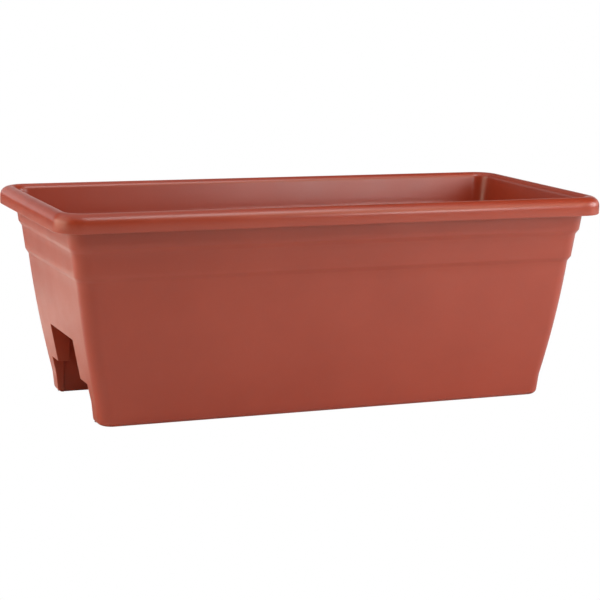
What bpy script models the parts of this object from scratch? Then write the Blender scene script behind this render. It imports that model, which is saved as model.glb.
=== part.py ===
"""A self-watering planter box that stands astride a deck rail.

Metres, +Z up. The origin is the middle of the underside, +X runs along the box and the front faces -Y.
The box is one moulding. A stepped channel along its underside takes the rail, and the two legs beside the
channel are water troughs. Each trough has a perforated platform over it, with wick baskets and a fill shaft
that hang down into the water.
"""

import math

import bmesh
import bpy
from mathutils import Matrix, Vector

# ---------------------------------------------------------------- driving dimensions

GAP = 0.0003  # between pieces that touch
CORNER_STEPS = 6  # straight segments in a quarter turn of a rounded rectangle
HOLE_SIDES = 16

# Box, outside
RIM_LENGTH = 0.610
RIM_WIDTH = 0.276
HEIGHT = 0.223
WALL = 0.0026
FLOOR = 0.0028
LIP_HEIGHT = 0.019
RIM_OVERHANG = 0.0157  # the lip's outer face stands this far out from the top of the wall
RIM_OUTER_ROUND = 0.010
RIM_INNER_ROUND = 0.0065
RIM_CORNER = 0.028
WEB_PITCH = 0.050  # the small webs that stiffen the rim, up in its hollow
WEB_THICKNESS = 0.0016
WEB_BOTTOM = 0.2135
BODY_CORNER_TOP = 0.018
BODY_CORNER_BOTTOM = 0.015
FOOT_ROUND = 0.005

# The wall leans out as it rises. Each lean is the inset of the end walls for a metre of height.
BAND_LEAN = 0.135
UPPER_BODY_LEAN = 0.120
LOWER_BODY_LEAN = 0.235
FOOT_LEAN = 0.114
SIDE_LEAN_SHARE = 0.57  # the long walls lean less than the end walls
BAND_BOTTOM = 0.150
FOOT_TOP = 0.022
STEP_MIDDLES = (0.1835, 0.1535)  # the two small steps round the body
STEP_RISE = 0.0055
STEP_DEPTH = 0.0022

# Rail channel: the narrow part sits on a 2x4 rail (89 mm), the wide part on a 2x6 rail (140 mm)
NARROW_HALF = 0.0452
WIDE_HALF = 0.0704
NARROW_ROOF = 0.0816
WIDE_ROOF = 0.0402
COLLAR_END = 0.246  # between the collars at its two ends, the channel is a little wider
NARROW_RELIEF = 0.0022
WIDE_RELIEF = 0.0012

# Holes in the box
OVERFLOW_RADIUS = 0.004
OVERFLOW_HEIGHT = 0.062
OVERFLOW_PLACES = (-0.150, 0.150)
PILOT_RADIUS = 0.0025
PILOT_PLACES = (-0.205, 0.205)

# Watering set. Its places are measured from the box's middle, on the rear side.
LINE_Y = 0.0852  # the baskets and the shaft stand on this line, over the deep part of the trough
BASKET_PLACES = {"left": -0.190, "middle": -0.060, "right": 0.070}
SHAFT_X = 0.200
GUSSET_PLACES = (-0.240, -0.125, 0.005, 0.108, 0.240)
GUSSET_THICKNESS = 0.0024

PLATFORM_TOP = 0.0785
PLATFORM_PLATE = 0.0022
PLATFORM_SKIRT = 0.0082
SKIRT_THICKNESS = 0.002
PLATFORM_HALF_LENGTH = 0.2615
PLATFORM_OUTER_Y = 0.1028
SLOT_WIDTH = 0.004
SLOT_LENGTH = 0.017
SLOT_PITCH = 0.0245
SLOT_ROWS = (0.0575, 0.0660)

BASKET_TOP_SIZE = (0.040, 0.020)
BASKET_FOOT_SIZE = (0.034, 0.016)
BASKET_WALL = 0.0014
FLANGE_WIDTH = 0.0022
FLANGE_THICKNESS = 0.0016
BASKET_SLOT_WIDTH = 0.0026
BASKET_SLOT_SPAN = (0.012, 0.064)
BASKET_SLOT_PITCH = 0.0078

SHAFT_SIZE = (0.034, 0.017)
SHAFT_WALL = 0.0016
SHAFT_CORNER = 0.004
SHAFT_TOP = 0.184
SHAFT_NOTCH_HEIGHT = 0.010
SHAFT_NOTCH_WIDTH = 0.006

LID_THICKNESS = 0.002
LID_OVERHANG = 0.0018
LID_RING_DEPTH = 0.003
LID_RING_WALL = 0.0012
LID_TAB = (0.005, 0.010)
HINGE_OUT = 0.0036  # from the shaft's end face to the hinge axis
KNUCKLE_RADIUS = 0.0025
KNUCKLE_LENGTH = 0.0092
LUG_THICKNESS = 0.0025
LUG_RISE = 0.0023
LUG_DROP = 0.0065
PIN_RADIUS = 0.0012
PIN_BORE_RADIUS = 0.0015

FLOAT_SIZE = (0.0276, 0.0118)
FLOAT_HEIGHT = 0.022
STICK_RADIUS = 0.0017
STICK_TOP = 0.135

DRAIN_X = 0.140
DRAIN_Y = 0.0835
DRAIN_BORE_RADIUS = 0.0046
DRAIN_RECESS_RADIUS = 0.0085
DRAIN_RECESS_DEPTH = 0.0052
DRAIN_BOSS_TOP = 0.0082
DRAIN_BOSS_HALF = 0.0115
PLUG_HEAD_RADIUS = 0.0072
PLUG_HEAD_THICKNESS = 0.0016
PLUG_SHANK_RADIUS = 0.0042
PLUG_TIP = 0.0115
PLUG_GRIP = (0.0100, 0.0024, 0.0012)
SEAL_THICKNESS = 0.0012
SEAL_RADIUS = 0.0068

# Sizes that follow from the ones above
LIP_BOTTOM = HEIGHT - LIP_HEIGHT
TOP_HALF_LENGTH = RIM_LENGTH / 2 - RIM_OVERHANG
TOP_HALF_WIDTH = RIM_WIDTH / 2 - RIM_OVERHANG
HUMP_NARROW_HALF = NARROW_HALF + NARROW_RELIEF + WALL
HUMP_WIDE_HALF = WIDE_HALF + WIDE_RELIEF + WALL
HUMP_TOP = NARROW_ROOF + WALL
SHOULDER_TOP = WIDE_ROOF + WALL
SKIRT_BOTTOM = PLATFORM_TOP - PLATFORM_SKIRT
FLANGE_TOP = PLATFORM_TOP + GAP + FLANGE_THICKNESS
SHAFT_FOOT = FLOOR + GAP
LID_BOTTOM = SHAFT_TOP + GAP
HINGE_X = SHAFT_X - SHAFT_SIZE[0] / 2 - HINGE_OUT
HINGE_Z = LID_BOTTOM + LID_THICKNESS / 2
SEAL_TOP = DRAIN_RECESS_DEPTH - GAP
HEAD_TOP = SEAL_TOP - SEAL_THICKNESS - GAP

# ---------------------------------------------------------------- materials: colour, roughness, metallic

FINISHES = {
    "terracotta": ((0.42, 0.056, 0.023), 0.40, 0.0),
    "black_plastic": ((0.020, 0.020, 0.022), 0.55, 0.0),
    "pale_foam": ((0.75, 0.74, 0.70), 0.60, 0.0),
    "grey_rubber": ((0.08, 0.08, 0.085), 0.70, 0.0),
    "steel": ((0.60, 0.60, 0.61), 0.30, 1.0),
}


def clear_scene():
    for obj in list(bpy.data.objects):
        bpy.data.objects.remove(obj)


def new_collection(name):
    collection = bpy.data.collections.new(name)
    bpy.context.scene.collection.children.link(collection)
    return collection


clear_scene()
PARTS = new_collection("self_watering_planter")
CUTTERS = new_collection("cutters")


def new_material(name):
    colour, roughness, metallic = FINISHES[name]
    material = bpy.data.materials.new(name)
    material.use_nodes = True
    shader = material.node_tree.nodes["Principled BSDF"]
    shader.inputs["Base Color"].default_value = (*colour, 1.0)
    shader.inputs["Roughness"].default_value = roughness
    shader.inputs["Metallic"].default_value = metallic
    material.diffuse_color = (*colour, 1.0)
    return material


MATERIALS = {name: new_material(name) for name in FINISHES}


# ---------------------------------------------------------------- mesh tools


def new_object(name, bm, collection, material=None, location=(0, 0, 0)):
    """A mesh object from bm, whose coordinates are the object's own."""
    mesh = bpy.data.meshes.new(name)
    bmesh.ops.recalc_face_normals(bm, faces=bm.faces)
    bm.to_mesh(mesh)
    bm.free()
    obj = bpy.data.objects.new(name, mesh)
    obj.location = location
    collection.objects.link(obj)
    if material:
        mesh.materials.append(MATERIALS[material])
    return obj


def part(name, bm, material, location=(0, 0, 0)):
    obj = new_object(name, bm, PARTS, material, location)
    obj.data.shade_smooth()
    obj.data.set_sharp_from_angle(angle=math.radians(35))
    return obj


def cutter(name, bm, location=(0, 0, 0)):
    obj = new_object(name, bm, CUTTERS, None, location)
    obj.hide_render = True
    obj.display_type = "WIRE"
    return obj


def boolean(obj, operation, other):
    """Adds a Boolean to obj and keeps the other object as its live operand."""
    modifier = obj.modifiers.new(operation.lower() + "_" + other.name, "BOOLEAN")
    modifier.operation = operation
    modifier.solver = "EXACT"
    modifier.object = other
    return obj


def rounded_rectangle(half_x, half_y, corner, centre=(0, 0), steps=CORNER_STEPS):
    """Points round a rounded rectangle, anticlockwise from the middle of its +X side's upper corner."""
    points = []
    for quarter, (sign_x, sign_y) in enumerate(((1, 1), (-1, 1), (-1, -1), (1, -1))):
        hub = (centre[0] + sign_x * (half_x - corner), centre[1] + sign_y * (half_y - corner))
        for step in range(steps + 1):
            angle = math.pi / 2 * (quarter + step / steps)
            points.append((hub[0] + corner * math.cos(angle), hub[1] + corner * math.sin(angle)))
    return points


def loft(rings):
    """A closed solid through rings of (points, z), from the first cap to the last."""
    bm = bmesh.new()
    loops = [[bm.verts.new((x, y, z)) for x, y in points] for points, z in rings]
    for lower, upper in zip(loops, loops[1:]):
        for i in range(len(lower)):
            j = (i + 1) % len(lower)
            bm.faces.new((lower[i], lower[j], upper[j], upper[i]))
    bm.faces.new(list(reversed(loops[0])))
    bm.faces.new(loops[-1])
    return bm


def add_block(bm, low, high):
    low, high = Vector(low), Vector(high)
    place = Matrix.Translation((low + high) / 2) @ Matrix.Diagonal((*(high - low), 1))
    bmesh.ops.create_cube(bm, size=1, matrix=place)
    return bm


def block(low, high):
    return add_block(bmesh.new(), low, high)


def blocks(spans):
    """One mesh of separate blocks, each given as (low corner, high corner)."""
    bm = bmesh.new()
    for low, high in spans:
        add_block(bm, low, high)
    return bm


def add_rod(bm, radius, start, end, sides=HOLE_SIDES):
    start, end = Vector(start), Vector(end)
    turn = (end - start).to_track_quat("Z", "Y").to_matrix().to_4x4()
    place = Matrix.Translation((start + end) / 2) @ turn
    length = (end - start).length
    bmesh.ops.create_cone(
        bm, cap_ends=True, segments=sides, radius1=radius, radius2=radius, depth=length, matrix=place
    )
    return bm


def rod(radius, start, end, sides=HOLE_SIDES):
    return add_rod(bmesh.new(), radius, start, end, sides)


def mirrored_block(side, low, high):
    """A block's corners on the rear side (side 1) or, mirrored in Y, on the front side (side -1)."""
    (x0, y0, z0), (x1, y1, z1) = low, high
    y0, y1 = sorted((side * y0, side * y1))
    return (x0, y0, z0), (x1, y1, z1)


# ---------------------------------------------------------------- the box


def wall_inset(z):
    """How far an end wall stands in from its top edge at height z, without the two steps."""
    if z >= BAND_BOTTOM:
        return BAND_LEAN * (LIP_BOTTOM - z)
    inset = BAND_LEAN * (LIP_BOTTOM - BAND_BOTTOM)
    drop = BAND_BOTTOM - max(z, FOOT_TOP)
    growth = (LOWER_BODY_LEAN - UPPER_BODY_LEAN) / (BAND_BOTTOM - FOOT_TOP)
    inset += drop * (UPPER_BODY_LEAN + growth * drop / 2)
    return inset + FOOT_LEAN * max(0, FOOT_TOP - z)


def step_inset(z):
    """What the steps above height z add to the inset."""
    shares = [min(1, max(0, (middle + STEP_RISE / 2 - z) / STEP_RISE)) for middle in STEP_MIDDLES]
    return STEP_DEPTH * sum(shares)


def body_ring(z, inward=0.0):
    """The body's outline at height z, moved inward by so much."""
    inset = wall_inset(z)
    half_x = TOP_HALF_LENGTH - inset - step_inset(z) - inward
    half_y = TOP_HALF_WIDTH - inset * SIDE_LEAN_SHARE - step_inset(z) - inward
    rise = min(1, z / LIP_BOTTOM)
    corner = BODY_CORNER_BOTTOM + (BODY_CORNER_TOP - BODY_CORNER_BOTTOM) * rise - inward
    return rounded_rectangle(half_x, half_y, max(corner, 0.002)), z


def rim_ring(inward, z):
    """An outline of the rim, so far inward from the lip's outer face."""
    share = inward / (RIM_OVERHANG + WALL)
    corner = RIM_CORNER + (BODY_CORNER_TOP - WALL - RIM_CORNER) * share
    return rounded_rectangle(RIM_LENGTH / 2 - inward, RIM_WIDTH / 2 - inward, corner), z


def arc(radius, hub, start, end, steps):
    """Points (inward, z) on an arc, whose angles are in degrees from inward-pointing, turning up."""
    points = []
    for step in range(steps + 1):
        angle = math.radians(start + (end - start) * step / steps)
        points.append((hub[0] + radius * math.cos(angle), hub[1] + radius * math.sin(angle)))
    return points


def step_levels():
    return sorted(middle + sign * STEP_RISE / 2 for middle in STEP_MIDDLES for sign in (-1, 1))


def box_shell():
    """The box as one closed skin: foot, outer wall, rim, inner wall and floor."""
    levels = [FOOT_TOP, 0.050, 0.078, 0.105, 0.130, *step_levels()]
    outside = []
    for step in range(3):
        angle = math.pi / 2 * step / 3
        outside.append(
            body_ring(FOOT_ROUND * (1 - math.cos(angle)), inward=FOOT_ROUND * (1 - math.sin(angle)))
        )
    outside += [body_ring(z) for z in (FOOT_ROUND, *levels, LIP_BOTTOM)]

    outer_hub = (RIM_OUTER_ROUND, HEIGHT - RIM_OUTER_ROUND)
    under_top = HEIGHT - WALL
    root = RIM_OVERHANG - BAND_LEAN * (under_top - LIP_BOTTOM)
    underside = [(root, under_top - 0.003), (root - 0.002, under_top)]
    underside += arc(RIM_OUTER_ROUND - WALL, outer_hub, 90, 180, 3)
    underside += [(WALL, LIP_BOTTOM)]
    outer_face = [(0.0006, LIP_BOTTOM), (0.0, LIP_BOTTOM + 0.001)]
    outer_face += arc(RIM_OUTER_ROUND, outer_hub, 180, 90, 5)
    inner_start = HEIGHT - RIM_INNER_ROUND
    wall_face = RIM_OVERHANG + WALL - BAND_LEAN * (inner_start - LIP_BOTTOM)
    inner_face = arc(RIM_INNER_ROUND, (wall_face - RIM_INNER_ROUND, inner_start), 90, 0, 4)
    rim = [rim_ring(inward, z) for inward, z in underside + outer_face + inner_face]

    inside = [body_ring(z, inward=WALL) for z in reversed(levels)]
    inside += [body_ring(z, inward=WALL + extra) for z, extra in ((0.0058, 0), (0.0036, 0.001), (FLOOR, 0.003))]
    return loft(outside + rim + inside)


def rim_web_profile():
    """One web's outline as (inward, z). Its edges lie in the middle of the rim's skin, so that they join."""
    outer_hub = (RIM_OUTER_ROUND, HEIGHT - RIM_OUTER_ROUND)
    inner_start = HEIGHT - RIM_INNER_ROUND
    inner_hub = RIM_OVERHANG + WALL - BAND_LEAN * (inner_start - LIP_BOTTOM) - RIM_INNER_ROUND
    outline = [(RIM_OVERHANG + WALL / 2 - BAND_LEAN * (WEB_BOTTOM - LIP_BOTTOM), WEB_BOTTOM)]
    outline += arc(RIM_OUTER_ROUND - WALL / 2, outer_hub, 176, 90, 3)
    return outline + arc(RIM_INNER_ROUND - WALL / 2, (inner_hub, inner_start), 90, 0, 3)


def rim_webs():
    """All the webs, square to the rim, evenly spaced along its four straight runs."""
    bm = bmesh.new()
    profile = rim_web_profile()
    half_sizes = (RIM_LENGTH / 2, RIM_WIDTH / 2)
    for quarter in range(4):
        out_half, along_half = half_sizes[quarter % 2], half_sizes[1 - quarter % 2]
        count = int(2 * (along_half - RIM_CORNER) / WEB_PITCH) + 1
        turn = Matrix.Rotation(math.pi / 2 * quarter, 4, "Z")
        for number in range(count):
            middle = (number - (count - 1) / 2) * WEB_PITCH
            sides = [
                [
                    bm.verts.new(turn @ Vector((out_half - inward, middle + side * WEB_THICKNESS / 2, z)))
                    for inward, z in profile
                ]
                for side in (-1, 1)
            ]
            bm.faces.new(sides[0])
            bm.faces.new(list(reversed(sides[1])))
            for i in range(len(profile)):
                j = (i + 1) % len(profile)
                bm.faces.new((sides[0][i], sides[1][i], sides[1][j], sides[0][j]))
    return bm


def wall_core(top):
    """A solid whose sides lie in the middle of the box's walls: it trims what is joined to their inside."""
    levels = [FLOOR / 2, FOOT_ROUND, FOOT_TOP, 0.050, 0.078, top]
    return loft([body_ring(z, inward=WALL / 2) for z in levels])


def channel_cuts():
    """The blocks that hollow the rail channel: (name, half length, half width, roof)."""
    through = RIM_LENGTH / 2
    return (
        ("narrow_channel", through, NARROW_HALF, NARROW_ROOF),
        ("narrow_relief", COLLAR_END, NARROW_HALF + NARROW_RELIEF, NARROW_ROOF),
        ("wide_channel", through, WIDE_HALF, WIDE_ROOF),
        ("wide_relief", COLLAR_END, WIDE_HALF + WIDE_RELIEF, WIDE_ROOF),
    )


def make_box():
    core = cutter("wall_core", wall_core(top=0.100))
    box = part("planter_box", box_shell(), "terracotta")

    buried = 0.001  # how far an added piece reaches into what it joins
    through = RIM_LENGTH / 2
    added = [
        ("hump_wide", (-through, -HUMP_WIDE_HALF, FLOOR / 2), (through, HUMP_WIDE_HALF, SHOULDER_TOP)),
        ("hump_narrow", (-through, -HUMP_NARROW_HALF, 0.02), (through, HUMP_NARROW_HALF, HUMP_TOP)),
    ]
    gusset_top = SKIRT_BOTTOM - GAP
    for side, side_name in ((1, "rear"), (-1, "front")):
        for number, x in enumerate(GUSSET_PLACES):
            x0, x1 = x - GUSSET_THICKNESS / 2, x + GUSSET_THICKNESS / 2
            wall_gusset = ((x0, 0.0985, FLOOR - buried), (x1, 0.115, gusset_top))
            low_y = HUMP_NARROW_HALF - buried
            hump_gusset = ((x0, low_y, SHOULDER_TOP - buried), (x1, 0.0565, gusset_top))
            for kind, span in (("wall", wall_gusset), ("hump", hump_gusset)):
                added.append((f"{side_name}_{kind}_gusset_{number}", *mirrored_block(side, *span)))
        boss_low = (DRAIN_X - DRAIN_BOSS_HALF, HUMP_WIDE_HALF - buried, FLOOR - buried)
        boss_high = (DRAIN_X + DRAIN_BOSS_HALF, 0.110, DRAIN_BOSS_TOP)
        added.append((f"{side_name}_drain_boss", *mirrored_block(side, boss_low, boss_high)))
    for name, low, high in added:
        piece = boolean(cutter(name, block(low, high)), "INTERSECT", core)
        boolean(box, "UNION", piece)

    boolean(box, "UNION", cutter("rim_webs", rim_webs()))

    for name, half_length, half_width, roof in channel_cuts():
        low = (-half_length, -half_width, -0.01)
        boolean(box, "DIFFERENCE", cutter(name, block(low, (half_length, half_width, roof))))

    holes = bmesh.new()
    for x in OVERFLOW_PLACES:
        reach = HUMP_NARROW_HALF + 0.004
        add_rod(holes, OVERFLOW_RADIUS, (x, -reach, OVERFLOW_HEIGHT), (x, reach, OVERFLOW_HEIGHT))
    for x in PILOT_PLACES:
        add_rod(holes, PILOT_RADIUS, (x, 0, NARROW_ROOF - 0.004), (x, 0, HUMP_TOP + 0.004))
    boolean(box, "DIFFERENCE", cutter("overflow_and_pilot_holes", holes))
    recesses = bmesh.new()
    bores = bmesh.new()
    for side in (1, -1):
        y = side * DRAIN_Y
        add_rod(recesses, DRAIN_RECESS_RADIUS, (DRAIN_X, y, -0.004), (DRAIN_X, y, DRAIN_RECESS_DEPTH))
        add_rod(bores, DRAIN_BORE_RADIUS, (DRAIN_X, y, 0.002), (DRAIN_X, y, 0.012))
    boolean(box, "DIFFERENCE", cutter("drain_recesses", recesses))
    boolean(box, "DIFFERENCE", cutter("drain_bores", bores))


# ---------------------------------------------------------------- one trough's watering set


def make_platform(side, side_name):
    inner_y = HUMP_NARROW_HALF + 2 * GAP
    middle = (0, (inner_y + PLATFORM_OUTER_Y) / 2)
    half_y = (PLATFORM_OUTER_Y - inner_y) / 2
    corner = 0.012
    outline = rounded_rectangle(PLATFORM_HALF_LENGTH, half_y, corner, middle)
    hollow = rounded_rectangle(
        PLATFORM_HALF_LENGTH - SKIRT_THICKNESS, half_y - SKIRT_THICKNESS, corner - SKIRT_THICKNESS, middle
    )
    outline, hollow = ([(x, side * y) for x, y in points] for points in (outline, hollow))
    plate_bottom = PLATFORM_TOP - PLATFORM_PLATE
    platform = part(
        f"{side_name}_soil_platform", loft([(outline, SKIRT_BOTTOM), (outline, PLATFORM_TOP)]), "black_plastic"
    )
    pocket = cutter(
        f"{side_name}_platform_pocket", loft([(hollow, SKIRT_BOTTOM - 0.002), (hollow, plate_bottom)])
    )
    boolean(platform, "DIFFERENCE", pocket)

    low_z, high_z = plate_bottom - 0.001, PLATFORM_TOP + 0.001
    ease = 0.0005  # clearance round a piece that drops through the platform
    openings = [(x, *BASKET_TOP_SIZE) for x in BASKET_PLACES.values()] + [(SHAFT_X, *SHAFT_SIZE)]
    spans = []
    for x, length, width in openings:
        half_x, half_w = length / 2 + ease, width / 2 + ease
        spans.append(((x - half_x, LINE_Y - half_w, low_z), (x + half_x, LINE_Y + half_w, high_z)))
    per_row = 2 * int((PLATFORM_HALF_LENGTH - 0.016) / SLOT_PITCH)
    for row_y in SLOT_ROWS:
        for number in range(per_row):
            x = (number - (per_row - 1) / 2) * SLOT_PITCH
            spans.append(
                (
                    (x - SLOT_LENGTH / 2, row_y - SLOT_WIDTH / 2, low_z),
                    (x + SLOT_LENGTH / 2, row_y + SLOT_WIDTH / 2, high_z),
                )
            )
    cuts = [mirrored_block(side, low, high) for low, high in spans]
    boolean(platform, "DIFFERENCE", cutter(f"{side_name}_platform_slots", blocks(cuts)))


def make_basket(side_name, place_name, x, y):
    """A tapered cup, hung by its flange on the platform."""

    def cup_ring(z, inward):
        share = (z - SHAFT_FOOT) / (PLATFORM_TOP - SHAFT_FOOT)
        half = [(foot + (top - foot) * share) / 2 for foot, top in zip(BASKET_FOOT_SIZE, BASKET_TOP_SIZE)]
        return rounded_rectangle(half[0] - inward, half[1] - inward, 0.005 - inward / 2, steps=4), z

    flange_bottom = PLATFORM_TOP + GAP
    flange = rounded_rectangle(
        BASKET_TOP_SIZE[0] / 2 + FLANGE_WIDTH, BASKET_TOP_SIZE[1] / 2 + FLANGE_WIDTH, 0.007, steps=4
    )
    rings = [cup_ring(SHAFT_FOOT, 0), cup_ring(flange_bottom, 0), (flange, flange_bottom), (flange, FLANGE_TOP)]
    rings += [cup_ring(FLANGE_TOP, BASKET_WALL), cup_ring(SHAFT_FOOT + BASKET_WALL, BASKET_WALL)]
    name = f"{side_name}_wick_basket_{place_name}"
    basket = part(name, loft(rings), "black_plastic", location=(x, y, 0))

    low_z, high_z = BASKET_SLOT_SPAN
    half = BASKET_SLOT_WIDTH / 2
    reach_x, reach_y = BASKET_TOP_SIZE[0], BASKET_TOP_SIZE[1]
    side_slots = []
    for number in (-1.5, -0.5, 0.5, 1.5):
        middle = number * BASKET_SLOT_PITCH
        side_slots.append(((middle - half, -reach_y, low_z), (middle + half, reach_y, high_z)))
    end_slots = [((-reach_x, -half, low_z), (reach_x, half, high_z))]
    floor_slots = [((-0.011, y0 - half, 0), (0.011, y0 + half, 0.008)) for y0 in (-0.0032, 0.0032)]
    for kind, spans in (("side", side_slots), ("end", end_slots), ("floor", floor_slots)):
        boolean(basket, "DIFFERENCE", cutter(f"{name}_{kind}_slots", blocks(spans), location=(x, y, 0)))


def make_shaft(side_name, y):
    """The fill shaft: a tube with water notches at its foot, a flange on the platform and two hinge lugs."""
    half_x, half_y = SHAFT_SIZE[0] / 2, SHAFT_SIZE[1] / 2
    outside = rounded_rectangle(half_x, half_y, SHAFT_CORNER, steps=4)
    inside = rounded_rectangle(half_x - SHAFT_WALL, half_y - SHAFT_WALL, SHAFT_CORNER - SHAFT_WALL, steps=4)
    flange = rounded_rectangle(half_x + 0.003, half_y + 0.003, SHAFT_CORNER + 0.003, steps=4)
    flange_bottom = PLATFORM_TOP + GAP
    rings = [(outside, SHAFT_FOOT), (outside, flange_bottom), (flange, flange_bottom), (flange, FLANGE_TOP)]
    rings += [(outside, FLANGE_TOP), (outside, SHAFT_TOP)]
    name = f"{side_name}_fill_shaft"
    where = (SHAFT_X, y, 0)
    shaft = part(name, loft(rings), "terracotta", location=where)

    hinge_x = HINGE_X - SHAFT_X
    lug_inner = KNUCKLE_LENGTH / 2 + GAP
    for end in (1, -1):
        y0, y1 = sorted((end * lug_inner, end * (lug_inner + LUG_THICKNESS)))
        low = (hinge_x - KNUCKLE_RADIUS, y0, HINGE_Z - LUG_DROP)
        high = (-half_x + SHAFT_WALL / 2, y1, SHAFT_TOP - 0.0004)
        ear = ((low[0], y0, SHAFT_TOP - 0.003), (hinge_x + KNUCKLE_RADIUS, y1, HINGE_Z + LUG_RISE))
        for kind, span in (("root", (low, high)), ("ear", ear)):
            lug = cutter(f"{name}_lug_{kind}_{'rear' if end > 0 else 'front'}", block(*span), location=where)
            boolean(shaft, "UNION", lug)

    bore = cutter(f"{name}_bore", loft([(inside, 0), (inside, SHAFT_TOP + 0.02)]), location=where)
    boolean(shaft, "DIFFERENCE", bore)
    pin_bore = rod(PIN_BORE_RADIUS, (hinge_x, -0.02, HINGE_Z), (hinge_x, 0.02, HINGE_Z), sides=12)
    boolean(shaft, "DIFFERENCE", cutter(f"{name}_pin_bore", pin_bore, location=where))
    half = SHAFT_NOTCH_WIDTH / 2
    notches = [((x - half, -0.02, 0), (x + half, 0.02, SHAFT_FOOT + SHAFT_NOTCH_HEIGHT)) for x in (-0.008, 0.008)]
    boolean(shaft, "DIFFERENCE", cutter(f"{name}_notches", blocks(notches), location=where))


def make_lid(side_name, y):
    """The flip lid and its pin. Both have their origin on the hinge axis."""
    mouth_x = SHAFT_X - HINGE_X
    half_x, half_y = SHAFT_SIZE[0] / 2 + LID_OVERHANG, SHAFT_SIZE[1] / 2 + LID_OVERHANG
    bottom, top = LID_BOTTOM - HINGE_Z, LID_BOTTOM + LID_THICKNESS - HINGE_Z
    near_edge = HINGE_OUT  # the plate starts at the shaft's end face, clear of the lugs
    plate_middle = ((near_edge + mouth_x + half_x) / 2, 0)
    plate = rounded_rectangle((mouth_x + half_x - near_edge) / 2, half_y, 0.002, plate_middle, steps=3)
    name = f"{side_name}_fill_lid"
    where = (HINGE_X, y, HINGE_Z)
    lid = part(name, loft([(plate, bottom), (plate, top)]), "terracotta", location=where)

    bore_half = [size / 2 - SHAFT_WALL for size in SHAFT_SIZE]
    ease = 0.0008
    ring_outside = rounded_rectangle(bore_half[0] - ease, bore_half[1] - ease, 0.002, (mouth_x, 0), steps=3)
    inset = ease + LID_RING_WALL
    ring_inside = rounded_rectangle(bore_half[0] - inset, bore_half[1] - inset, 0.001, (mouth_x, 0), steps=3)
    ring_bottom = bottom - LID_RING_DEPTH
    joined = bottom + LID_THICKNESS / 2
    boolean(lid, "UNION", cutter(f"{name}_ring", loft([(ring_outside, ring_bottom), (ring_outside, joined)]), where))
    hollow = loft([(ring_inside, ring_bottom - 0.002), (ring_inside, bottom)])
    boolean(lid, "DIFFERENCE", cutter(f"{name}_ring_hollow", hollow, where))

    tab_length, tab_width = LID_TAB
    tab_start = mouth_x + half_x - 0.001
    tab = block((tab_start, -tab_width / 2, bottom + 0.0002), (tab_start + tab_length, tab_width / 2, top - 0.0002))
    boolean(lid, "UNION", cutter(f"{name}_tab", tab, where))
    half_knuckle = KNUCKLE_LENGTH / 2
    knuckle = rod(KNUCKLE_RADIUS, (0, -half_knuckle, 0), (0, half_knuckle, 0))
    boolean(lid, "UNION", cutter(f"{name}_knuckle", knuckle, where))
    web = block((0, -half_knuckle + 0.0002, bottom + 0.0001), (near_edge + 0.002, half_knuckle - 0.0002, top - 0.0001))
    boolean(lid, "UNION", cutter(f"{name}_web", web, where))
    pin_bore = rod(PIN_BORE_RADIUS, (0, -0.02, 0), (0, 0.02, 0), sides=12)
    boolean(lid, "DIFFERENCE", cutter(f"{name}_pin_bore", pin_bore, where))

    half_pin = half_knuckle + GAP + LUG_THICKNESS
    part(f"{side_name}_lid_pin", rod(PIN_RADIUS, (0, -half_pin, 0), (0, half_pin, 0), sides=12), "steel", where)


def make_float(side_name, y):
    """The float block with its stick, free to rise inside the shaft."""
    bottom = SHAFT_FOOT + GAP
    widest = rounded_rectangle(FLOAT_SIZE[0] / 2, FLOAT_SIZE[1] / 2, 0.003, steps=4)
    narrow = rounded_rectangle(FLOAT_SIZE[0] / 2 - 0.001, FLOAT_SIZE[1] / 2 - 0.001, 0.002, steps=4)
    rings = [(narrow, 0), (widest, 0.001), (widest, FLOAT_HEIGHT - 0.001), (narrow, FLOAT_HEIGHT)]
    name = f"{side_name}_level_float"
    where = (SHAFT_X, y, bottom)
    body = part(name, loft(rings), "pale_foam", location=where)
    stick = rod(STICK_RADIUS, (0, 0, FLOAT_HEIGHT - 0.004), (0, 0, STICK_TOP - bottom), sides=12)
    boolean(body, "UNION", cutter(f"{name}_stick", stick, where))


def make_drain(side_name, y):
    """The plug, pushed up from below into its bore, and the seal between its head and the recess."""
    where = (DRAIN_X, y, 0)
    head_bottom = HEAD_TOP - PLUG_HEAD_THICKNESS
    plug = part(
        f"{side_name}_drain_plug",
        rod(PLUG_HEAD_RADIUS, (0, 0, head_bottom), (0, 0, HEAD_TOP), sides=24),
        "black_plastic",
        where,
    )
    shank = rod(PLUG_SHANK_RADIUS, (0, 0, HEAD_TOP - 0.001), (0, 0, PLUG_TIP))
    boolean(plug, "UNION", cutter(f"{side_name}_plug_shank", shank, where))
    length, width, depth = PLUG_GRIP
    grip = block((-length / 2, -width / 2, head_bottom - depth), (length / 2, width / 2, head_bottom + 0.0008))
    boolean(plug, "UNION", cutter(f"{side_name}_plug_grip", grip, where))

    seal_bottom = SEAL_TOP - SEAL_THICKNESS
    seal = part(
        f"{side_name}_plug_seal",
        rod(SEAL_RADIUS, (0, 0, seal_bottom), (0, 0, SEAL_TOP), sides=24),
        "grey_rubber",
        where,
    )
    hole = rod(PLUG_SHANK_RADIUS + GAP, (0, 0, 0), (0, 0, 0.01))
    boolean(seal, "DIFFERENCE", cutter(f"{side_name}_seal_hole", hole, where))


def main():
    make_box()
    for side, side_name in ((1, "rear"), (-1, "front")):
        y = side * LINE_Y
        make_platform(side, side_name)
        for place_name, x in BASKET_PLACES.items():
            make_basket(side_name, place_name, x, y)
        make_shaft(side_name, y)
        make_lid(side_name, y)
        make_float(side_name, y)
        make_drain(side_name, side * DRAIN_Y)


main()
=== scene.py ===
import math

import bmesh
import bpy
from mathutils import Matrix, Vector


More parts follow.
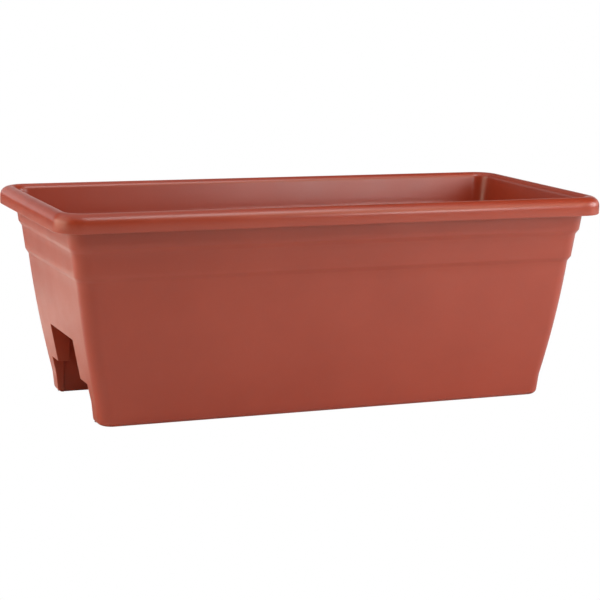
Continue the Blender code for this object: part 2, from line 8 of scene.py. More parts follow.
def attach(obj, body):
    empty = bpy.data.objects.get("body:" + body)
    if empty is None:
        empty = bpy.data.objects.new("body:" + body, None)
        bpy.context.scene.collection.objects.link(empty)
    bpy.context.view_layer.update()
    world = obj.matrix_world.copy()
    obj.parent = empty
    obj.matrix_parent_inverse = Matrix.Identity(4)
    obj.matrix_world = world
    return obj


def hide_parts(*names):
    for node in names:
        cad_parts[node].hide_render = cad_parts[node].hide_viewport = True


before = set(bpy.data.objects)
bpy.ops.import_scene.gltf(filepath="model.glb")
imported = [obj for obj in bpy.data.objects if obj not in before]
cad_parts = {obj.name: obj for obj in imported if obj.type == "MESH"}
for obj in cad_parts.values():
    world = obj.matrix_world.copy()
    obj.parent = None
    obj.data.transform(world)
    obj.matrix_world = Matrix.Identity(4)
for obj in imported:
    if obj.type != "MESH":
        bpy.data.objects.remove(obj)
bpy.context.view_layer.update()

# ---------------------------------------------------------------- sizes, in metres, as the CAD has them

HEIGHT = 0.223
RIM_HALF_LENGTH = 0.305
RIM_HALF_WIDTH = 0.138
WALL = 0.0026
FLOOR = 0.0028
LIP_BOTTOM = 0.204
RIM_OVERHANG = 0.0157
RIM_OUTER_ROUND = 0.010
RIM_INNER_ROUND = 0.0065
RIM_CORNER = 0.028
BODY_CORNER_TOP = 0.018
BODY_CORNER_BOTTOM = 0.015
FOOT_ROUND = 0.005
LEAST_CORNER = 0.002

BAND_LEAN = 0.135
UPPER_BODY_LEAN = 0.120
LOWER_BODY_LEAN = 0.235
FOOT_LEAN = 0.114
SIDE_LEAN_SHARE = 0.57
BAND_BOTTOM = 0.150
FOOT_TOP = 0.022
STEP_MIDDLES = (0.1835, 0.1535)
STEP_RISE = 0.0055
STEP_DEPTH = 0.0022
STEP_SHARPNESS = 0.7  # 0 is a smooth wave, 1 a plain chamfer: a little sharper than in the CAD
LEVEL_PITCH = 0.0107
BAND_LEVELS = (0.162, 0.168, 0.174, 0.192, 0.198)

# Small rounds of the shell, given point by point.
ROOT_ROUND = ((0, 0.003), (0.0006, 0.0009), (0.002, 0))  # how far in, how far down
LIP_OUTER_ROUND = ((0.0007, 0), (0.0002, 0.0003), (0, 0.0009))  # how far in, how far up
LIP_INNER_ROUND = 0.0006
FLOOR_ROUND = ((0.0058, 0), (0.0036, 0.001), (FLOOR, 0.003))  # height, how far in

NARROW_HALF = 0.0452
WIDE_HALF = 0.0704
NARROW_ROOF = 0.0816
WIDE_ROOF = 0.0402
COLLAR_END = 0.246
NARROW_RELIEF = 0.0022
WIDE_RELIEF = 0.0012
HUMP_NARROW_HALF = NARROW_HALF + NARROW_RELIEF + WALL
HUMP_WIDE_HALF = WIDE_HALF + WIDE_RELIEF + WALL
HUMP_TOP = NARROW_ROOF + WALL
SHOULDER_TOP = WIDE_ROOF + WALL

SIDES = (("rear", 1), ("front", -1))


# ---------------------------------------------------------------- mesh tools


def mesh_object(name, bm):
    mesh = bpy.data.meshes.new(name)
    bmesh.ops.recalc_face_normals(bm, faces=bm.faces)
    bm.to_mesh(mesh)
    bm.free()
    obj = bpy.data.objects.new(name, mesh)
    bpy.context.scene.collection.objects.link(obj)
    return obj


def rounded_rectangle(half_x, half_y, corner, centre=(0, 0), steps=10):
    points = []
    for quarter, (sign_x, sign_y) in enumerate(((1, 1), (-1, 1), (-1, -1), (1, -1))):
        hub = (centre[0] + sign_x * (half_x - corner), centre[1] + sign_y * (half_y - corner))
        for step in range(steps + 1):
            angle = math.pi / 2 * (quarter + step / steps)
            points.append((hub[0] + corner * math.cos(angle), hub[1] + corner * math.sin(angle)))
    return points


def loft(rings):
    """A skin over rings of (outline, height), one after the other, closed flat at both ends."""
    bm = bmesh.new()
    loops = [[bm.verts.new((x, y, z)) for x, y in points] for points, z in rings]
    for lower, upper in zip(loops, loops[1:]):
        for i in range(len(lower)):
            j = (i + 1) % len(lower)
            bm.faces.new((lower[i], lower[j], upper[j], upper[i]))
    bm.faces.new(list(reversed(loops[0])))
    bm.faces.new(loops[-1])
    return bm


def block(low, high):
    low, high = Vector(low), Vector(high)
    place = Matrix.Translation((low + high) / 2) @ Matrix.Diagonal((*(high - low), 1))
    bm = bmesh.new()
    bmesh.ops.create_cube(bm, size=1, matrix=place)
    return bm


def prism(outline, axis, low, high):
    """A closed outline, pushed from low to high along X (axis 0) or Y (axis 1)."""
    bm = bmesh.new()
    ends = []
    for along in (low, high):
        corners = []
        for pair in outline:
            place = list(pair)
            place.insert(axis, along)
            corners.append(bm.verts.new(place))
        ends.append(corners)
    bm.faces.new(ends[0])
    bm.faces.new(list(reversed(ends[1])))
    for i in range(len(outline)):
        j = (i + 1) % len(outline)
        bm.faces.new((ends[0][i], ends[1][i], ends[1][j], ends[0][j]))
    bmesh.ops.recalc_face_normals(bm, faces=bm.faces)
    return bm


def circle(radius, sides):
    angles = [2 * math.pi * n / sides for n in range(sides)]
    return [(radius * math.cos(angle), radius * math.sin(angle)) for angle in angles]


def turned(profile, sides=48):
    """A solid of revolution about Z through (radius, z), closed by a flat at each end."""
    return loft([(circle(radius, sides), z) for radius, z in profile])


def turned_ring(profile, sides=64):
    """A ring about Z, whose section is the closed outline (radius, z)."""
    bm = bmesh.new()
    loops = [[bm.verts.new((x, y, z)) for x, y in circle(radius, sides)] for radius, z in profile]
    for first, second in zip(loops, loops[1:] + loops[:1]):
        for i in range(sides):
            j = (i + 1) % sides
            bm.faces.new((first[i], first[j], second[j], second[i]))
    return bm


def moved(bm, place):
    bmesh.ops.transform(bm, matrix=Matrix.Translation(place), verts=bm.verts)
    return bm


def merged(parts):
    """Several meshes as one, with nothing welded."""
    whole = bmesh.new()
    for bm in parts:
        mesh = bpy.data.meshes.new("part")
        bm.to_mesh(mesh)
        bm.free()
        whole.from_mesh(mesh)
        bpy.data.meshes.remove(mesh)
    return whole


def add_rod(bm, radius, start, end, sides=48):
    start, end = Vector(start), Vector(end)
    turn = (end - start).to_track_quat("Z", "Y").to_matrix().to_4x4()
    place = Matrix.Translation((start + end) / 2) @ turn
    length = (end - start).length
    bmesh.ops.create_cone(
        bm, cap_ends=True, segments=sides, radius1=radius, radius2=radius, depth=length, matrix=place
    )
    return bm


def boolean(obj, operation, bm):
    """Joins or cuts obj with a closed mesh, at once."""
    other = mesh_object(obj.name + "_operand", bm)
    modifier = obj.modifiers.new("joint", "BOOLEAN")
    modifier.operation = operation
    modifier.solver = "EXACT"
    modifier.object = other
    apply_modifiers(obj)
    discard(other)


def discard(obj):
    mesh = obj.data
    bpy.data.objects.remove(obj)
    bpy.data.meshes.remove(mesh)


def apply_modifiers(obj):
    """Makes the modified mesh the object's own."""
    bpy.context.view_layer.update()
    evaluated = obj.evaluated_get(bpy.context.evaluated_depsgraph_get())
    mesh = bpy.data.meshes.new_from_object(evaluated)
    old = obj.data
    obj.modifiers.clear()
    obj.data = mesh
    bpy.data.meshes.remove(old)


# ---------------------------------------------------------------- the box's walls and rim


def wall_inset(z):
    """How far the lean has brought an end wall in from its line under the lip, at height z."""
    if z >= BAND_BOTTOM:
        return BAND_LEAN * (LIP_BOTTOM - z)
    inset = BAND_LEAN * (LIP_BOTTOM - BAND_BOTTOM)
    drop = BAND_BOTTOM - max(z, FOOT_TOP)
    growth = (LOWER_BODY_LEAN - UPPER_BODY_LEAN) / (BAND_BOTTOM - FOOT_TOP)
    inset += drop * (UPPER_BODY_LEAN + growth * drop / 2)
    return inset + FOOT_LEAN * max(0, FOOT_TOP - z)


def step_inset(z):
    """How far the steps above height z bring the wall in."""
    total = 0
    for middle in STEP_MIDDLES:
        share = min(1, max(0, (middle + STEP_RISE / 2 - z) / STEP_RISE))
        total += STEP_SHARPNESS * share + (1 - STEP_SHARPNESS) * share * share * (3 - 2 * share)
    return STEP_DEPTH * total


def body_ring(z, inward=0.0):
    """The wall at height z, as (outline, z), drawn so far in from its outer face."""
    inset = wall_inset(z)
    half_x = RIM_HALF_LENGTH - RIM_OVERHANG - inset - step_inset(z) - inward
    half_y = RIM_HALF_WIDTH - RIM_OVERHANG - inset * SIDE_LEAN_SHARE - step_inset(z) - inward
    rise = min(1, z / LIP_BOTTOM)
    corner = BODY_CORNER_BOTTOM + (BODY_CORNER_TOP - BODY_CORNER_BOTTOM) * rise - inward
    return rounded_rectangle(half_x, half_y, max(corner, LEAST_CORNER)), z


def rim_ring(inward, z):
    """The rim at height z, as (outline, z), drawn so far in from its outermost line."""
    share = inward / (RIM_OVERHANG + WALL)
    corner = RIM_CORNER + (BODY_CORNER_TOP - WALL - RIM_CORNER) * share
    return rounded_rectangle(RIM_HALF_LENGTH - inward, RIM_HALF_WIDTH - inward, corner), z


def arc(radius, hub, start, end, steps):
    points = []
    for step in range(steps + 1):
        angle = math.radians(start + (end - start) * step / steps)
        points.append((hub[0] + radius * math.cos(angle), hub[1] + radius * math.sin(angle)))
    return points


def wall_levels():
    """The heights of the wall's rings: close together at the two steps, wider apart elsewhere."""
    levels = [FOOT_TOP / 2, FOOT_TOP] + [FOOT_TOP + LEVEL_PITCH * n for n in range(1, 12)]
    for middle in STEP_MIDDLES:
        levels += [middle + STEP_RISE * (n / 8 - 0.5) for n in range(9)]
    return sorted([*levels, *BAND_LEVELS])


def box_shell():
    """The box without its channel, in one skin: up the outside, over the rim and down the inside."""
    levels = wall_levels()
    outside = []
    foot_steps = 6
    for step in range(foot_steps):
        angle = math.pi / 2 * step / foot_steps
        outside.append(
            body_ring(FOOT_ROUND * (1 - math.cos(angle)), inward=FOOT_ROUND * (1 - math.sin(angle)))
        )
    outside += [body_ring(z) for z in (FOOT_ROUND, *levels, LIP_BOTTOM)]

    outer_hub = (RIM_OUTER_ROUND, HEIGHT - RIM_OUTER_ROUND)
    under_top = HEIGHT - WALL
    root = RIM_OVERHANG - BAND_LEAN * (under_top - LIP_BOTTOM)
    underside = [(root - inward, under_top - drop) for inward, drop in ROOT_ROUND]
    underside += arc(RIM_OUTER_ROUND - WALL, outer_hub, 90, 180, 8)
    underside += [(WALL, LIP_BOTTOM + LIP_INNER_ROUND), (WALL - LIP_INNER_ROUND, LIP_BOTTOM)]
    outer_face = [(inward, LIP_BOTTOM + rise) for inward, rise in LIP_OUTER_ROUND]
    outer_face += arc(RIM_OUTER_ROUND, outer_hub, 180, 90, 14)
    inner_start = HEIGHT - RIM_INNER_ROUND
    wall_face = RIM_OVERHANG + WALL - BAND_LEAN * (inner_start - LIP_BOTTOM)
    inner_face = arc(RIM_INNER_ROUND, (wall_face - RIM_INNER_ROUND, inner_start), 90, 0, 10)
    rim = [rim_ring(inward, z) for inward, z in underside + outer_face + inner_face]

    inside = [body_ring(z, inward=WALL) for z in reversed(levels)]
    inside += [body_ring(z, inward=WALL + extra) for z, extra in FLOOR_ROUND]
    return loft(outside + rim + inside)


# ---------------------------------------------------------------- edges and bodies

BOX_EDGE = 0.0006
PLATFORM_EDGE = 0.0004
SMALL_EDGE = 0.0003
PLUG_EDGE = 0.0002

def soften(obj, width, segments=2, angle=38):
    """Rounds every sharp edge a little, as a mould leaves it, and keeps the flats flat."""
    obj.data.shade_smooth()
    bevel = obj.modifiers.new("edges", "BEVEL")
    bevel.limit_method = "ANGLE"
    bevel.angle_limit = math.radians(angle)
    bevel.width = width
    bevel.segments = segments
    bevel.use_clamp_overlap = False
    bevel.harden_normals = True
    apply_modifiers(obj)


def finish(obj, body, node, material, slot_name):
    """Gives a piece its one material and its body, and hides the CAD part it stands for. slot_name is not
    used.
    """
    obj.data.materials.clear()
    obj.data.materials.append(material)
    for face in obj.data.polygons:
        face.material_index = 0
    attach(obj, body)
    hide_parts(node)
    return obj


# ---------------------------------------------------------------- rows of copies


def make_row_tree():
    """Repeats a shape in a straight row, centred on where it was drawn."""
    tree = bpy.data.node_groups.new("evenly_spaced_row", "GeometryNodeTree")
    face = tree.interface
    face.new_socket("Geometry", in_out="OUTPUT", socket_type="NodeSocketGeometry")
    face.new_socket("Geometry", in_out="INPUT", socket_type="NodeSocketGeometry")
    count = face.new_socket("Count", in_out="INPUT", socket_type="NodeSocketInt")
    count.default_value = 2
    face.new_socket("Pitch", in_out="INPUT", socket_type="NodeSocketVector")
    face.new_socket("Finish", in_out="INPUT", socket_type="NodeSocketMaterial")

    nodes, links = tree.nodes, tree.links
    given = nodes.new("NodeGroupInput")
    result = nodes.new("NodeGroupOutput")
    gaps = nodes.new("ShaderNodeMath")
    gaps.operation = "SUBTRACT"
    gaps.inputs[1].default_value = 1
    half = nodes.new("ShaderNodeMath")
    half.operation = "MULTIPLY"
    half.inputs[1].default_value = -0.5
    start = nodes.new("ShaderNodeVectorMath")
    start.operation = "SCALE"
    line = nodes.new("GeometryNodeMeshLine")
    line.mode = "OFFSET"
    copies = nodes.new("GeometryNodeInstanceOnPoints")
    real = nodes.new("GeometryNodeRealizeInstances")
    coat = nodes.new("GeometryNodeSetMaterial")
    links.new(given.outputs["Count"], gaps.inputs[0])
    links.new(gaps.outputs[0], half.inputs[0])
    links.new(given.outputs["Pitch"], start.inputs[0])
    links.new(half.outputs[0], start.inputs["Scale"])
    links.new(given.outputs["Count"], line.inputs["Count"])
    links.new(start.outputs[0], line.inputs["Start Location"])
    links.new(given.outputs["Pitch"], line.inputs["Offset"])
    links.new(line.outputs[0], copies.inputs["Points"])
    links.new(given.outputs["Geometry"], copies.inputs["Instance"])
    links.new(copies.outputs[0], real.inputs[0])
    links.new(real.outputs[0], coat.inputs["Geometry"])
    links.new(given.outputs["Finish"], coat.inputs["Material"])
    links.new(coat.outputs[0], result.inputs[0])
    return tree


ROW_TREE = make_row_tree()
ROW_INPUTS = {}
for item in ROW_TREE.interface.items_tree:
    if item.in_out == "INPUT":
        ROW_INPUTS[item.name] = item.identifier


def row_of(bm, count, pitch, material):
    """A mesh of so many copies of bm, a pitch apart."""
    one = mesh_object("row", bm)
    modifier = one.modifiers.new("row", "NODES")
    modifier.node_group = ROW_TREE
    modifier[ROW_INPUTS["Count"]] = count
    modifier[ROW_INPUTS["Pitch"]] = pitch
    modifier[ROW_INPUTS["Finish"]] = material
    apply_modifiers(one)
    made = bmesh.new()
    made.from_mesh(one.data)
    discard(one)
    return made


# ---------------------------------------------------------------- finishes

EDGE_FAINT = 0.515  # how sharp an edge is where its lightening begins to show: a little wear, and a painted highlight
EDGE_FULL = 0.56
TERRACOTTA_GLOSS = (0.28, 0.33)
TERRACOTTA_SPECULAR = 0.7

class Finish:
    """A material under construction: a Principled shader with procedural colour, gloss and relief."""

    def __init__(self, name, roughness, metallic=0.0):
        self.material = bpy.data.materials.new(name)
        self.material.use_nodes = True
        self.nodes = self.material.node_tree.nodes
        self.links = self.material.node_tree.links
        self.shader = self.nodes["Principled BSDF"]
        self.shader.inputs["Roughness"].default_value = roughness
        self.shader.inputs["Metallic"].default_value = metallic
        self.place = self.nodes.new("ShaderNodeTexCoord").outputs["Object"]
        self.height = None

    def noise(self, scale, detail=2.0, stretch=None):
        texture = self.nodes.new("ShaderNodeTexNoise")
        texture.inputs["Scale"].default_value = scale
        texture.inputs["Detail"].default_value = detail
        source = self.place
        if stretch:
            mapping = self.nodes.new("ShaderNodeMapping")
            mapping.inputs["Scale"].default_value = stretch
            self.links.new(self.place, mapping.inputs["Vector"])
            source = mapping.outputs["Vector"]
        self.links.new(source, texture.inputs["Vector"])
        return texture.outputs["Fac"]

    def spread(self, value, low, high, to_low=0.0, to_high=1.0):
        """Stretches the part of a value from low to high over a new range, and clips the rest."""
        node = self.nodes.new("ShaderNodeMapRange")
        node.inputs["From Min"].default_value = low
        node.inputs["From Max"].default_value = high
        node.inputs["To Min"].default_value = to_low
        node.inputs["To Max"].default_value = to_high
        self.links.new(value, node.inputs["Value"])
        return node.outputs["Result"]

    # Sharp edges made lighter: a little wear, and a painted highlight where the edges catch the light.
    def edge_wear_and_highlight(self):
        geometry = self.nodes.new("ShaderNodeNewGeometry")
        return self.spread(geometry.outputs["Pointiness"], EDGE_FAINT, EDGE_FULL)

    def mix(self, share, first, second):
        node = self.nodes.new("ShaderNodeMix")
        node.data_type = "RGBA"
        self.links.new(share, node.inputs["Factor"])
        for value, socket in ((first, node.inputs[6]), (second, node.inputs[7])):
            if isinstance(value, tuple):
                socket.default_value = (*value, 1.0)
            else:
                self.links.new(value, socket)
        return node.outputs[2]

    def colour(self, value):
        self.links.new(value, self.shader.inputs["Base Color"])

    def roughness(self, value):
        self.links.new(value, self.shader.inputs["Roughness"])

    def relief(self, value, depth, strength=1.0):
        bump = self.nodes.new("ShaderNodeBump")
        bump.inputs["Strength"].default_value = strength
        bump.inputs["Distance"].default_value = depth
        self.links.new(value, bump.inputs["Height"])
        if self.height:
            self.links.new(self.height, bump.inputs["Normal"])
        self.height = bump.outputs["Normal"]
        self.links.new(self.height, self.shader.inputs["Normal"])


def terracotta_plastic():
    """Satin polypropylene, coloured through: faint mottling, mould grain and slow ripples from the flow."""
    finish = Finish("terracotta_plastic", sum(TERRACOTTA_GLOSS) / 2)
    finish.shader.inputs["Specular IOR Level"].default_value = TERRACOTTA_SPECULAR
    mottle = finish.spread(finish.noise(14, 4), 0.35, 0.65)
    base = finish.mix(mottle, (0.405, 0.052, 0.021), (0.435, 0.059, 0.025))
    pigment = finish.spread(finish.noise(900, 2), 0.62, 0.78, 0.0, 0.30)
    base = finish.mix(pigment, base, (0.52, 0.10, 0.05))
    # Sharp edges lighter: a little wear, and a painted highlight along the rims and steps.
    edge = finish.spread(finish.edge_wear_and_highlight(), 0, 1, 0.0, 0.35)
    finish.colour(finish.mix(edge, base, (0.55, 0.13, 0.075)))
    finish.roughness(finish.spread(finish.noise(46, 5), 0.3, 0.7, *TERRACOTTA_GLOSS))
    finish.relief(finish.noise(7, 1, stretch=(1, 1, 0.35)), 0.0011, 0.5)
    finish.relief(finish.noise(2400, 2), 0.00004, 0.5)
    return finish.material


def black_plastic():
    """Matt recycled plastic, nearly black, with grey flecks and swirls."""
    finish = Finish("recycled_black_plastic", 0.55)
    swirl = finish.spread(finish.noise(60, 6), 0.4, 0.65)
    base = finish.mix(swirl, (0.014, 0.014, 0.015), (0.030, 0.030, 0.031))
    fleck = finish.spread(finish.noise(1500, 1), 0.70, 0.76)
    base = finish.mix(fleck, base, (0.10, 0.10, 0.10))
    # Sharp edges lighter grey: a little wear, and a painted highlight along them.
    edge = finish.spread(finish.edge_wear_and_highlight(), 0, 1, 0.0, 0.5)
    finish.colour(finish.mix(edge, base, (0.085, 0.085, 0.088)))
    finish.roughness(finish.spread(finish.noise(120, 4), 0.3, 0.7, 0.46, 0.62))
    finish.relief(finish.noise(2000, 3), 0.00006, 0.6)
    return finish.material


def float_plastic():
    """Pale, slightly chalky plastic, with a red tip on the stick."""
    finish = Finish("float_plastic", 0.55)
    cloud = finish.spread(finish.noise(90, 4), 0.35, 0.7)
    base = finish.mix(cloud, (0.70, 0.68, 0.62), (0.78, 0.77, 0.73))
    parts = finish.nodes.new("ShaderNodeSeparateXYZ")
    finish.links.new(finish.place, parts.inputs[0])
    tip = finish.spread(parts.outputs["Z"], TIP_START, TIP_FULL)
    finish.colour(finish.mix(tip, base, (0.62, 0.035, 0.025)))
    finish.roughness(finish.spread(finish.noise(300, 3), 0.3, 0.7, 0.48, 0.64))
    finish.relief(finish.noise(1700, 3), 0.00005, 0.6)
    return finish.material


def seal_rubber():
    """Dark grey rubber with a little dust."""
    finish = Finish("seal_rubber", 0.72)
    dust = finish.spread(finish.noise(500, 5), 0.45, 0.75)
    finish.colour(finish.mix(dust, (0.060, 0.060, 0.064), (0.115, 0.113, 0.110)))
    finish.roughness(finish.spread(finish.noise(700, 3), 0.3, 0.7, 0.64, 0.80))
    finish.relief(finish.noise(2600, 2), 0.00004, 0.6)
    return finish.material


def pin_steel():
    """Drawn stainless wire, with fine lines along it."""
    finish = Finish("drawn_steel", 0.3, metallic=1.0)
    lines = finish.noise(2200, 3, stretch=(1, 0.03, 1))
    finish.colour(finish.mix(lines, (0.50, 0.50, 0.51), (0.68, 0.68, 0.69)))
    finish.roughness(finish.spread(lines, 0.3, 0.7, 0.22, 0.38))
    finish.relief(lines, 0.00002, 0.5)
    return finish.material


# ---------------------------------------------------------------- the box's channel, holes and webs

GUSSET_PLACES = (-0.240, -0.125, 0.005, 0.108, 0.240)
GUSSET_THICKNESS = 0.0024
GUSSET_TOP = 0.0700
GUSSET_LEVELS = (0.012, 0.025, 0.040, 0.055)
WALL_GUSSET_Y = 0.0985
HUMP_GUSSET_Y = 0.0565
WEB_PITCH = 0.050
WEB_THICKNESS = 0.0016
WEB_BOTTOM = 0.2135
WEB_START_ANGLE = 176
DRAIN_X = 0.140
DRAIN_Y = 0.0835
DRAIN_BORE_RADIUS = 0.0046
DRAIN_BORE_CUT = (0.002, 0.012)
DRAIN_RECESS_RADIUS = 0.0085
DRAIN_RECESS_DEPTH = 0.0052
DRAIN_BOSS_TOP = 0.0082
DRAIN_BOSS_HALF = 0.0115
DRAIN_BOSS_MIDDLE = 0.006
DRAIN_BOSS_SHY = 0.0006
OVERFLOW_PLACES = (-0.150, 0.150)
OVERFLOW_RADIUS = 0.004
OVERFLOW_HEIGHT = 0.062
SCREW_PLACES = (-0.205, 0.205)
SCREW_RADIUS = 0.0025
HUMP_CUT_HEIGHT = 0.100
CHANNEL_CUT_LOW = -0.01
CUT_BEYOND = 0.004
BURIED = 0.001


def stepped_outline(wide, narrow, low, shoulder, top):
    """The section of the channel, or of the hump over it, as (y, z)."""
    right = [(wide, low), (wide, shoulder), (narrow, shoulder), (narrow, top)]
    return right + [(-y, z) for y, z in reversed(right)]


def wall_core(top):
    """The box's low part, filled solid to the middle of its walls."""
    levels = [FLOOR / 2, FOOT_ROUND, FOOT_TOP / 2, FOOT_TOP]
    levels += [FOOT_TOP + LEVEL_PITCH * n for n in range(1, 6)]
    return loft([body_ring(z, inward=WALL / 2) for z in [*levels, top]])


def wall_middle(z):
    """The half width of the box at height z, to the middle of its wall."""
    return max(y for _, y in body_ring(z, inward=WALL / 2)[0])


def gussets():
    """The upright webs that the platforms stand on: against the long walls, and on the hump's shoulders."""
    made = []
    for _, side in SIDES:
        levels = [FLOOR - BURIED, *GUSSET_LEVELS, GUSSET_TOP]
        wall_web = [(side * WALL_GUSSET_Y, levels[0])] + [(side * wall_middle(z), z) for z in levels]
        wall_web.append((side * WALL_GUSSET_Y, GUSSET_TOP))
        low_y = HUMP_NARROW_HALF - BURIED
        hump_web = [(side * low_y, SHOULDER_TOP - BURIED), (side * HUMP_GUSSET_Y, SHOULDER_TOP - BURIED)]
        hump_web += [(side * HUMP_GUSSET_Y, GUSSET_TOP), (side * low_y, GUSSET_TOP)]
        for x in GUSSET_PLACES:
            for outline in (wall_web, hump_web):
                made.append(prism(outline, 0, x - GUSSET_THICKNESS / 2, x + GUSSET_THICKNESS / 2))
    return made


def rim_webs(material):
    """The small webs up in the rim's hollow, in a centred row along each straight run."""
    outer_hub = (RIM_OUTER_ROUND, HEIGHT - RIM_OUTER_ROUND)
    inner_start = HEIGHT - RIM_INNER_ROUND
    inner_hub = RIM_OVERHANG + WALL - BAND_LEAN * (inner_start - LIP_BOTTOM) - RIM_INNER_ROUND
    section = [(RIM_OVERHANG + WALL / 2 - BAND_LEAN * (WEB_BOTTOM - LIP_BOTTOM), WEB_BOTTOM)]
    section += arc(RIM_OUTER_ROUND - WALL / 2, outer_hub, WEB_START_ANGLE, 90, 6)
    section += arc(RIM_INNER_ROUND - WALL / 2, (inner_hub, inner_start), 90, 0, 6)
    half_sizes = (RIM_HALF_LENGTH, RIM_HALF_WIDTH)
    made = []
    for quarter in range(4):
        out_half, along_half = half_sizes[quarter % 2], half_sizes[1 - quarter % 2]
        outline = [(out_half - inward, z) for inward, z in section]
        count = int(2 * (along_half - RIM_CORNER) / WEB_PITCH) + 1
        web = prism(outline, 1, -WEB_THICKNESS / 2, WEB_THICKNESS / 2)
        row = row_of(web, count, (0, WEB_PITCH, 0), material)
        bmesh.ops.transform(row, matrix=Matrix.Rotation(math.pi / 2 * quarter, 4, "Z"), verts=row.verts)
        made.append(row)
    return made


def add_hump(box):
    """The hump inside the box, over the whole channel."""
    outline = stepped_outline(HUMP_WIDE_HALF, HUMP_NARROW_HALF, FLOOR / 2, SHOULDER_TOP, HUMP_TOP)
    hump = mesh_object("hump", prism(outline, 0, -RIM_HALF_LENGTH, RIM_HALF_LENGTH))
    boolean(hump, "INTERSECT", wall_core(HUMP_CUT_HEIGHT))
    inside_hump = bmesh.new()
    inside_hump.from_mesh(hump.data)
    discard(hump)
    boolean(box, "UNION", inside_hump)


def add_drain_bosses(box):
    for _, side in SIDES:
        outer_y = wall_middle(DRAIN_BOSS_MIDDLE) - DRAIN_BOSS_SHY
        y0, y1 = sorted((side * (HUMP_WIDE_HALF - BURIED), side * outer_y))
        low = (DRAIN_X - DRAIN_BOSS_HALF, y0, FLOOR - BURIED)
        boolean(box, "UNION", block(low, (DRAIN_X + DRAIN_BOSS_HALF, y1, DRAIN_BOSS_TOP)))


def cut_channel(box):
    """The channel, end to end, and its relief behind the collar at each end."""
    channel = stepped_outline(WIDE_HALF, NARROW_HALF, CHANNEL_CUT_LOW, WIDE_ROOF, NARROW_ROOF)
    boolean(box, "DIFFERENCE", prism(channel, 0, -RIM_HALF_LENGTH, RIM_HALF_LENGTH))
    wide, narrow = WIDE_HALF + WIDE_RELIEF, NARROW_HALF + NARROW_RELIEF
    relief = stepped_outline(wide, narrow, CHANNEL_CUT_LOW, WIDE_ROOF, NARROW_ROOF)
    boolean(box, "DIFFERENCE", prism(relief, 0, -COLLAR_END, COLLAR_END))


def cut_holes(box):
    """The overflow holes, the screw holes in the channel's roof, and the drains."""
    reach = HUMP_NARROW_HALF + CUT_BEYOND
    holes = bmesh.new()
    for x in OVERFLOW_PLACES:
        add_rod(holes, OVERFLOW_RADIUS, (x, -reach, OVERFLOW_HEIGHT), (x, reach, OVERFLOW_HEIGHT))
    for x in SCREW_PLACES:
        add_rod(holes, SCREW_RADIUS, (x, 0, NARROW_ROOF - CUT_BEYOND), (x, 0, HUMP_TOP + CUT_BEYOND))
    boolean(box, "DIFFERENCE", holes)
    recess = (DRAIN_RECESS_RADIUS, -CUT_BEYOND, DRAIN_RECESS_DEPTH)
    bore = (DRAIN_BORE_RADIUS, *DRAIN_BORE_CUT)
    for radius, low, high in (recess, bore):
        wells = bmesh.new()
        for _, side in SIDES:
            add_rod(wells, radius, (DRAIN_X, side * DRAIN_Y, low), (DRAIN_X, side * DRAIN_Y, high))
        boolean(box, "DIFFERENCE", wells)


def make_box(material):
    box = mesh_object("box_moulding", box_shell())
    add_hump(box)
    add_drain_bosses(box)
    cut_channel(box)
    cut_holes(box)
    soften(box, BOX_EDGE)

    webs = mesh_object("webs", merged(gussets() + rim_webs(material)))
    soften(webs, SMALL_EDGE)
    join_into(box, webs)
    finish(box, "planter", "planter_box", material, "terracotta")


def join_into(obj, other):
    """Adds another object's faces to obj and removes the other. Normals set on either are kept."""
    with bpy.context.temp_override(active_object=obj, selected_editable_objects=[obj, other], object=obj):
        bpy.ops.object.join()


# ---------------------------------------------------------------- one trough's watering set

GAP = 0.0003
LINE_Y = 0.0852
BASKET_PLACES = {"left": -0.190, "middle": -0.060, "right": 0.070}
SHAFT_X = 0.200
PLATFORM_TOP = 0.0785
PLATFORM_PLATE = 0.0022
PLATFORM_BOTTOM = PLATFORM_TOP - 0.0082
SKIRT_THICKNESS = 0.002
PLATFORM_HALF_LENGTH = 0.2615
PLATFORM_OUTER_Y = 0.1028
SLOT_WIDTH = 0.004
SLOT_LENGTH = 0.017
SLOT_PITCH = 0.0245
SLOT_ROWS = (0.0575, 0.0660)
SLOT_COUNT = 20
PLATFORM_CORNER = 0.012
WINDOW_CORNER = 0.0045
WINDOW_EASE = 0.0005
CUT_MARGIN = 0.001
NEARLY_ROUND = 0.0001  # what a slot's end lacks of a half circle, so that no edge has no length

BASKET_TOP_SIZE = (0.040, 0.020)
BASKET_FOOT_SIZE = (0.034, 0.016)
BASKET_WALL = 0.0014
BASKET_CORNER = 0.005
FLANGE_WIDTH = 0.0022
FLANGE_CORNER = 0.007
FLANGE_BOTTOM = PLATFORM_TOP + GAP
FLANGE_TOP = PLATFORM_TOP + GAP + 0.0016
FOOT_Z = FLOOR + GAP
BASKET_SLOT_HALF = 0.0013
BASKET_SLOT_ROUNDNESS = 0.95
BASKET_SLOT_LOW = 0.012
BASKET_SLOT_HIGH = 0.064
BASKET_SLOT_COUNT = 4
BASKET_SLOT_PITCH = 0.0078
BASKET_FLOOR_SLOT_HALF = 0.011
BASKET_FLOOR_SLOT_PITCH = 0.0064
BASKET_FLOOR_CUT_TOP = 0.008
BASKET_CUT_REACH = (0.04, 0.03)

